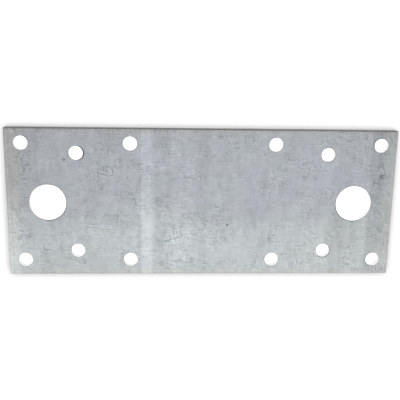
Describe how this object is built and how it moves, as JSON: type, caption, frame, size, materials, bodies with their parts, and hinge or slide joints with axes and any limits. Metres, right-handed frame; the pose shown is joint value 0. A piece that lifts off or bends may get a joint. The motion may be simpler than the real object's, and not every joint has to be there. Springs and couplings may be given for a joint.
{
  "type": "mending plate",
  "caption": "Flat galvanised steel strap that joins two timbers end to end, punched with staggered nail holes and a bolt hole at each end.",
  "frame": {"origin": "centre of the underside, the flat face that lies on the timber", "axes": "+X along the plate's length, +Y across its width, +Z out of the upper face, which the punches entered and the nail heads sit on"},
  "size_m": [0.14, 0.054, 0.0025],
  "materials": {
    "galvanised_steel": "dull hot-dip zinc: soft grey with a fine cloudy grain, short dark rolling streaks and small specks; lips at the holes and edges a little darker"
  },
  "bodies": {
    "root": {"plate": "galvanised_steel"}
  },
  "joints": []
}
